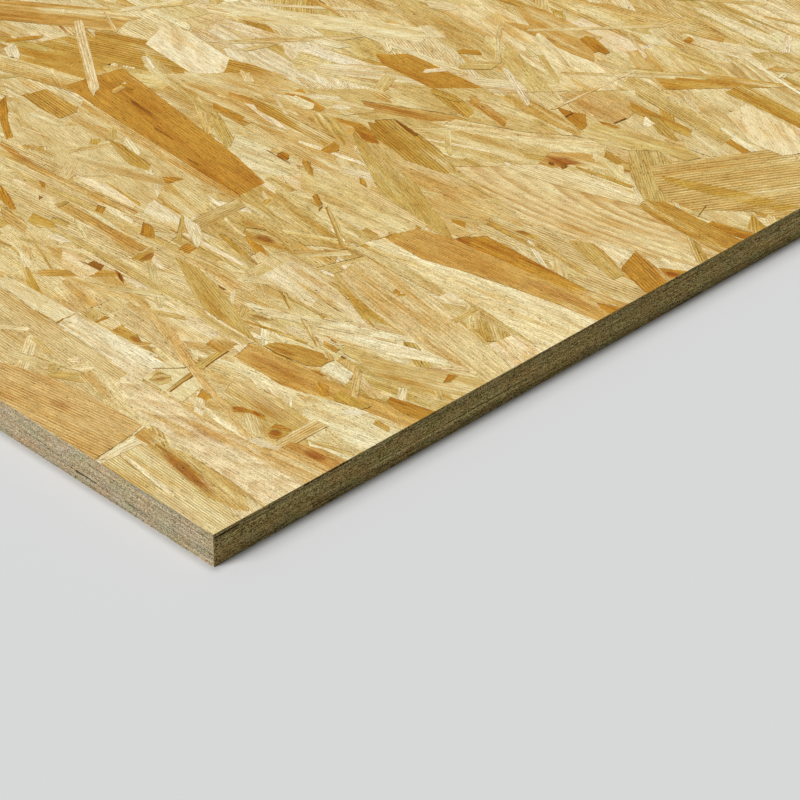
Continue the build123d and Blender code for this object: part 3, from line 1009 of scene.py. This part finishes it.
# how bright a pit is painted: painted shade in its hollow
PAINTED_PIT_SHADE = 0.4
# length of a wave of the rows, and its height as a share of a row's
WAVES = (90 * MM, 0.16), (23 * MM, 0.12), (9 * MM, 0.08)
WARMTH = (0.01, -0.01, -0.04)  # how much a warm strand gains in red, green and blue
# sRGB tone, how strongly it varies, and the brightness of the outer strands
LONG_EDGE = (193, 179, 148), 0.83, 1.0
SHORT_EDGE = (165, 147, 93), 1.45, 0.80


def edge_cells(stations, rows, lengthwise_skin, rng):
    """Depth, brightness, warmth and noise number of each cell of an edge, in rows through the thickness."""
    shape = (rows, len(stations) - 1)
    depth, light, warm, seed = np.zeros(shape), np.zeros(shape), np.zeros(shape), np.zeros(shape)
    for row in range(rows):
        in_skin = min(row, rows - 1 - row) < SKIN_SHARE * rows
        lengths = LENGTHWISE if in_skin == lengthwise_skin else CROSSWISE
        column = 0
        while column < shape[1]:
            reach = stations[column] + rng.uniform(*lengths) * MM
            end = max(column + 1, int(np.searchsorted(stations[:-1], reach)))
            cell = (row, slice(column, end))
            is_pit = lengths is CROSSWISE and rng.random() < PIT_SHARE
            depth[cell] = PIT_DEPTH if is_pit else min(abs(rng.normal(0, ROUGH_SAWN[0])), ROUGH_SAWN[1]) * MM
            # a pit is painted dark, as shade in its hollow
            light[cell] = PAINTED_PIT_SHADE if is_pit else rng.normal(1, UNEVEN_LIGHT)
            warm[cell] = rng.normal(0, 1)
            seed[cell] = rng.uniform(0, SEEDS)
            column = end
    depth[[0, -1]] = 0
    depth[:, [0, -1]] = 0
    return depth, light, warm, seed


def add_edge(name, start, along, outward, length, parts, lengthwise_skin, look, material, rng):
    """A sawn edge, cut into parts along its length."""
    inner = np.linspace(CORNER_STEP, length - CORNER_STEP, round(length / EDGE_STEP))
    stations = np.concatenate([[0], inner, [length]])
    depth, light, warm, seed = edge_cells(stations, EDGE_ROWS, lengthwise_skin, rng)
    pitch = THICKNESS / EDGE_ROWS
    level = np.arange(EDGE_ROWS + 1)[:, None] * pitch + np.zeros(len(stations))
    for wave, swing in WAVES:
        phase = rng.uniform(0, 2 * math.pi, (EDGE_ROWS + 1, 1))
        level[1:-1] += (swing * pitch * np.sin(stations / wave * 2 * math.pi + phase))[1:-1]
    cuts = np.linspace(0, len(stations) - 1, parts + 1).round().astype(int)
    for part in range(parts):
        columns = np.arange(cuts[part], cuts[part + 1])
        add_edge_part(f"{name}_{part + 1}", start, along, outward, stations, level, columns,
                      (depth, light, warm, seed), look, material)


EDGE_FOLDS = 10  # lines of the edge, one above the other, on its map
MAP_MARGIN = 0.04  # share of a line's height that stays free above it and below it


def edge_quads(depth):
    """The fronts of the cells and the walls between cells of unlike depth, each as four corners, and the
    number of the cell that each belongs to."""
    rows, count = depth.shape
    number = np.arange(rows * count * 4).reshape(rows, count, 4)
    owners = np.arange(rows * count).reshape(rows, count)
    ledges = np.stack([number[:-1, :, 3], number[:-1, :, 2], number[1:, :, 1], number[1:, :, 0]], -1)
    ledge_owners = np.where(depth[:-1] <= depth[1:], owners[:-1], owners[1:])
    risers = np.stack([number[:, :-1, 1], number[:, 1:, 0], number[:, 1:, 3], number[:, :-1, 2]], -1)
    riser_owners = np.where(depth[:, :-1] <= depth[:, 1:], owners[:, :-1], owners[:, 1:])
    above, beside = depth[:-1] != depth[1:], depth[:, :-1] != depth[:, 1:]
    quads = np.concatenate([number.reshape(-1, 4), ledges[above], risers[beside]])
    return quads, np.concatenate([owners.ravel(), ledge_owners[above], riser_owners[beside]])


def edge_map(u, z, column, columns, stations):
    """Places on the map of a part of an edge, which is folded into lines, one above the other."""
    fold = (columns - columns[0]) * EDGE_FOLDS // len(columns)
    first = stations[columns[np.searchsorted(fold, np.arange(EDGE_FOLDS))]]
    last = np.append(first[1:], stations[columns[-1] + 1])
    line = fold[column]
    across = (u - first[line]) / (last - first)[line]
    height = MAP_MARGIN + (1 - 2 * MAP_MARGIN) * z / THICKNESS
    return np.column_stack([across, (line + height) / EDGE_FOLDS])


def add_edge_part(name, start, along, outward, stations, level, columns, cells, look, material):
    tone, contrast, skin_light = look
    depth, light, warm, seed = (values[:, columns] for values in cells)
    row, column = np.indices(depth.shape)
    # corners of each cell, in the order low left, low right, high right, high left
    corners = (0, 0), (1, 0), (1, 1), (0, 1)
    u = np.stack([stations[columns + shift][column] for shift, _ in corners], -1).ravel()
    z = np.stack([level[row + up, columns[column] + shift] for shift, up in corners], -1).ravel()
    vertices = start + np.outer(u, along) - np.outer(np.repeat(depth, 4), outward)
    vertices[:, 2] = LOW[2] + z

    quads, owner = edge_quads(depth)
    # walls between cells of unlike depth are painted darker, as shade in the step
    shade = np.where(np.arange(len(quads)) < depth.size, 1.0, PAINTED_WALL_SHADE)
    triangles = np.concatenate([quads[:, [0, 1, 2]], quads[:, [0, 2, 3]]])
    owner, shade = np.tile(owner, 2), np.tile(shade, 2)
    corner = triangles.ravel()

    grain = np.column_stack([u[corner], z[corner], np.repeat(seed.ravel()[owner], 3)])
    height = (z.reshape(-1, 4)[owner].mean(1) / THICKNESS)[:, None]
    skin = np.where(abs(height - 0.5) > 0.5 - SKIN_SHARE, skin_light, 1)
    brightness = (light.ravel()[owner] * shade)[:, None] * skin
    warmth = 1 + np.outer(warm.ravel()[owner], WARMTH)
    colour = np.column_stack([linear(tone) * brightness * warmth, np.full(len(owner), contrast)])
    uv = edge_map(u[corner], z[corner], column.ravel()[owner].repeat(3), columns, stations)
    add_mesh(name, vertices, triangles, material, {"grain": grain}, colour, uv)


# Materials


class Graph:
    """Short ways to add and join a material's nodes."""

    def __init__(self, name):
        self.material = bpy.data.materials.new(name)
        self.material.use_nodes = True
        self.tree = self.material.node_tree
        self.shader = self.tree.nodes["Principled BSDF"]

    def feed(self, socket, value):
        if isinstance(value, bpy.types.NodeSocket):
            self.tree.links.new(value, socket)
        else:
            socket.default_value = value

    def node(self, kind, inputs, **settings):
        node = self.tree.nodes.new(kind)
        for title, value in settings.items():
            setattr(node, title, value)
        for title, value in inputs.items():
            self.feed(node.inputs[title], value)
        return node

    def math(self, operation, *values):
        node = self.node("ShaderNodeMath", dict(enumerate(values)), operation=operation)
        return node.outputs[0]

    def attribute(self, title):
        return self.node("ShaderNodeAttribute", {}, attribute_name=title)

    def parts(self, vector):
        return self.node("ShaderNodeSeparateXYZ", {"Vector": vector}).outputs

    def noise(self, x, y, often, z, detail=2.0, roughness=0.5):
        """Noise between 0 and 1. often is how many times it changes per unit of x and of y."""
        x, y = self.math("MULTIPLY", x, often[0]), self.math("MULTIPLY", y, often[1])
        place = self.node("ShaderNodeCombineXYZ", {"X": x, "Y": y, "Z": z}).outputs[0]
        inputs = {"Vector": place, "Scale": 1.0, "Detail": detail, "Roughness": roughness}
        return self.node("ShaderNodeTexNoise", inputs).outputs["Fac"]

    def length(self, x, y):
        return self.math("SQRT", self.math("ADD", self.math("MULTIPLY", x, x), self.math("MULTIPLY", y, y)))

    def between(self, value, low, high, start=0.0, end=1.0):
        """value's way from low to high, smoothed, as a number from start to end."""
        inputs = {"Value": value, "From Min": low, "From Max": high, "To Min": start, "To Max": end}
        return self.node("ShaderNodeMapRange", inputs, interpolation_type="SMOOTHSTEP").outputs["Result"]

    def tint(self, share, colour, factor, blend="MULTIPLY"):
        """colour, times factor where share is 1."""
        mix = self.node("ShaderNodeMix", {"Factor": share}, data_type="RGBA", blend_type=blend)
        self.feed(mix.inputs[6], colour)
        self.feed(mix.inputs[7], factor)
        return mix.outputs[2]

    def grained(self, colour, change, hue):
        """colour made lighter by the share change, in which hue is how strongly each channel takes part."""
        full = self.node("ShaderNodeVectorMath", {0: colour, 1: hue}, operation="MULTIPLY").outputs[0]
        added = self.node("ShaderNodeVectorMath", {0: full, "Scale": change}, operation="SCALE").outputs[0]
        return self.node("ShaderNodeVectorMath", {0: colour, 1: added}, operation="ADD").outputs[0]


# how many times each pattern changes per metre along the grain and across it
BAND = (14, 120)
CLOUD = (22, 48)
SWAY = (9, 30)
BREAKS = (25, 100)
STREAKS = (11, 140)
FIBRES = (120, 2200)
DUST = (1700, 2000)
FLECKS = (300, 1500)
SAWN_FIBRES = (350, 1300)
SAWN_GRIT = (1500, 1900)
SAWN_WARMTH = (60, 170)
SAWN_HUE = (70, 130)
SAWN_PITS = (900, 1300)
YEARS = (3.7, 1)  # and per growth ring
# where in the noise each effect starts and where it is full
PALE_RANGE = (-0.50, -0.36)
BAND_RANGE = (0.50, 0.62)
GLOW_RANGE = (0.38, 0.50)
STREAK_RANGE = (0.48, 0.70)
FLECK_RANGE = (0.645, 0.715)
WARM_RANGE = (0.42, 0.62)
PINK_RANGE = (0.50, 0.66)
GREEN_RANGE = (0.34, 0.50)
PIT_RANGE = (0.58, 0.66)
MOST_NOISE = (0.25, 0.75)  # where nearly all of the noise lies
# how much lighter or darker, as a share
FIBRE_CHANGE = (-0.33, 0.33)
DUST_CHANGE = (-0.20, 0.32)
SAWN_FIBRE_CHANGE = (-0.32, 0.32)
SAWN_GRIT_CHANGE = (-0.70, 0.70)
LATEWOOD_RISE, LATEWOOD_FALL = (0.15, 0.80), (0.84, 1.0)  # where in a ring its dark line grows and ends
RING_SWAY = 1.8  # how far the rings sway, in ring widths
STAIN_SWAY = 0.8  # and the stains' borders, in stain sizes
BUMP_DEPTH = 0.12 * MM
SAWN_BUMP_DEPTH = 0.2 * MM
PALE_SIDE = (225, 203, 143)  # sRGB value of the wood where a strand is palest
# what the colour of the wood is multiplied by, in linear values
RING_TINT = (0.70, 0.54, 0.33, 1)
BAND_TINT = (0.84, 0.68, 0.40, 1)
GLOW_TINT = (1.06, 1.11, 1.24, 1)
STREAK_TINT = (0.74, 0.50, 0.21, 1)
STAIN_TINT = (0.62, 0.36, 0.18, 1)
FLECK_TINT = (0.36, 0.27, 0.16, 1)
WARM_TINT = (1.0, 0.92, 0.80, 1)
PINK_TINT = (1.05, 0.97, 0.95, 1)
GREEN_TINT = (0.96, 1.01, 0.94, 1)
# painted shade of small pits in the sawn face
PIT_SHADE_TINT = (0.34, 0.24, 0.15, 1)
# how strongly red, green and blue take part in the fine grain, which is whiter where it is lighter
FACE_GRAIN = (1.0, 1.09, 1.38)
EDGE_GRAIN = (1.0, 1.08, 1.42)


def strand_material():
    """Wood grain that follows each strand: growth rings, fibres, orange streaks and dark flecks. What is added
    to seed keeps one pattern of a strand from running like another."""
    g = Graph("strand_wood")
    u, v, seed = g.parts(g.attribute("grain").outputs["Vector"])
    rings = g.parts(g.attribute("rings").outputs["Vector"])
    stain = g.parts(g.attribute("stain").outputs["Vector"])
    tone = g.attribute("tone")

    # soft pale and golden clouds, some within a strand and some over the borders between strands
    x, y, _ = g.parts(g.node("ShaderNodeTexCoord", {}).outputs["Object"])
    band = g.noise(u, v, BAND, g.math("ADD", seed, 17.0), 3, 0.55)
    cloud = g.noise(x, y, CLOUD, 4.0, 4, 0.6)
    gold = g.math("ADD", g.math("MULTIPLY", band, 0.6), g.math("MULTIPLY", cloud, 0.4))
    pale = g.math("SUBTRACT", g.math("MULTIPLY", g.attribute("fade").outputs["Fac"], 0.07), gold)
    pale_side = (*linear(PALE_SIDE), 1)
    colour = g.tint(g.between(pale, *PALE_RANGE, 0.0, 0.85), tone.outputs["Color"], pale_side, "LIGHTEN")
    share = g.between(rings[2], 0.0, 0.4, 0.5, 1.0)
    colour = g.tint(g.math("MULTIPLY", g.between(gold, *BAND_RANGE), share), colour, BAND_TINT)
    colour = g.tint(g.between(gold, *GLOW_RANGE, 1.0, 0.0), colour, GLOW_TINT)

    # growth rings, stronger in some years and broken in places
    sway = g.noise(u, v, SWAY, seed, 2)
    radius = g.math("ADD", g.length(rings[0], rings[1]), g.math("MULTIPLY", sway, RING_SWAY))
    ring = g.math("FRACT", radius)
    latewood = g.math("MULTIPLY", g.between(ring, *LATEWOOD_RISE), g.between(ring, *LATEWOOD_FALL, 1.0, 0.0))
    year = g.noise(g.math("FLOOR", radius), 0.0, YEARS, seed, 0)
    broken = g.noise(u, v, BREAKS, g.math("ADD", seed, 2.0), 2)
    strength = g.math("MULTIPLY", g.between(year, 0.3, 0.7, 0.6, 1.0), g.between(broken, 0.3, 0.6, 0.5, 1.2))
    strength = g.math("MULTIPLY", strength, tone.outputs["Alpha"])
    colour = g.tint(g.math("MULTIPLY", latewood, strength), colour, RING_TINT)

    streak = g.noise(u, v, STREAKS, g.math("ADD", seed, 7.3), 3, 0.6)
    streak = g.math("MULTIPLY", g.between(streak, *STREAK_RANGE), rings[2])
    colour = g.tint(g.math("MINIMUM", streak, 0.9), colour, STREAK_TINT)
    spread = g.math("SUBTRACT", g.length(stain[0], stain[1]), g.math("MULTIPLY", sway, STAIN_SWAY))
    colour = g.tint(g.math("MULTIPLY", g.between(spread, 0.0, 0.6, 1.0, 0.0), stain[2]), colour, STAIN_TINT)

    fibre = g.noise(u, v, FIBRES, seed, 2, 0.7)
    dust = g.noise(u, v, DUST, seed, 1)
    fibre_change = g.between(fibre, *MOST_NOISE, *FIBRE_CHANGE)
    change = g.math("ADD", fibre_change, g.between(dust, *MOST_NOISE, *DUST_CHANGE))
    colour = g.grained(colour, change, FACE_GRAIN)
    fleck = g.noise(u, v, FLECKS, g.math("ADD", seed, 11.9), 2)
    colour = g.tint(g.between(fleck, *FLECK_RANGE), colour, FLECK_TINT)
    g.feed(g.shader.inputs["Base Color"], colour)

    roughness = g.math("ADD", g.between(fibre, 0.2, 0.8, 0.58, 0.74), g.math("MULTIPLY", latewood, -0.06))
    g.feed(g.shader.inputs["Roughness"], roughness)
    height = g.math("ADD", g.math("MULTIPLY", latewood, 0.4), fibre)
    bump = g.node("ShaderNodeBump", {"Strength": 0.5, "Distance": BUMP_DEPTH, "Height": height})
    g.feed(g.shader.inputs["Normal"], bump.outputs["Normal"])
    g.shader.inputs["Specular IOR Level"].default_value = 0.15
    return g.material


def sawn_material():
    """Strands in section, roughened by the saw."""
    g = Graph("sawn_edge")
    u, z, seed = g.parts(g.attribute("grain").outputs["Vector"])
    tone = g.attribute("tone")
    contrast = tone.outputs["Alpha"]
    fibre = g.noise(u, z, SAWN_FIBRES, seed, 3, 0.7)
    grit = g.noise(u, z, SAWN_GRIT, g.math("ADD", seed, 5.0), 2, 0.6)
    fibre_change = g.between(fibre, *MOST_NOISE, *SAWN_FIBRE_CHANGE)
    change = g.math("ADD", fibre_change, g.between(grit, *MOST_NOISE, *SAWN_GRIT_CHANGE))
    colour = g.grained(tone.outputs["Color"], g.math("MULTIPLY", change, contrast), EDGE_GRAIN)
    warm = g.noise(u, z, SAWN_WARMTH, g.math("ADD", g.math("MULTIPLY", seed, 0.01), 13.0), 1)
    colour = g.tint(g.math("MULTIPLY", g.between(warm, *WARM_RANGE), contrast), colour, WARM_TINT)
    hue = g.noise(u, z, SAWN_HUE, 21.0, 2)
    colour = g.tint(g.between(hue, *PINK_RANGE), colour, PINK_TINT)
    colour = g.tint(g.between(hue, *GREEN_RANGE, 1.0, 0.0), colour, GREEN_TINT)
    # dark specks painted as the shade in small pits of the sawn face
    pit = g.noise(u, z, SAWN_PITS, g.math("ADD", seed, 9.0), 2)
    colour = g.tint(g.between(pit, *PIT_RANGE), colour, PIT_SHADE_TINT)
    g.feed(g.shader.inputs["Base Color"], colour)
    g.feed(g.shader.inputs["Roughness"], g.between(grit, 0.2, 0.8, 0.75, 0.95))
    bump = g.node("ShaderNodeBump", {"Strength": 0.8, "Distance": SAWN_BUMP_DEPTH, "Height": fibre})
    g.feed(g.shader.inputs["Normal"], bump.outputs["Normal"])
    g.shader.inputs["Specular IOR Level"].default_value = 0.2
    return g.material


# The whole scene

bpy.context.scene.view_settings.view_transform = "Standard"
add_camera()
add_suns()
add_world()
add_floor()

strand_wood = strand_material()
add_face("top_face", top_strands(), TOP_TILES, True, strand_wood)
add_face("underside", underside_strands(), UNDERSIDE_TILES, False, strand_wood)

sawn = sawn_material()
edge_rng = np.random.default_rng(SEED + 2)
X, Y = np.array([1.0, 0, 0]), np.array([0, 1.0, 0])
corner = {(i, j): np.array([(LOW, HIGH)[i][0], (LOW, HIGH)[j][1], 0]) for i in (0, 1) for j in (0, 1)}
add_edge("near_long_edge", corner[0, 0], X, -Y, LENGTH, 3, True, LONG_EDGE, sawn, edge_rng)
add_edge("far_long_edge", corner[1, 1], -X, Y, LENGTH, 3, True, LONG_EDGE, sawn, edge_rng)
add_edge("near_short_edge", corner[1, 0], Y, X, WIDTH, 2, False, SHORT_EDGE, sawn, edge_rng)
add_edge("far_short_edge", corner[0, 1], -Y, -X, WIDTH, 2, False, SHORT_EDGE, sawn, edge_rng)
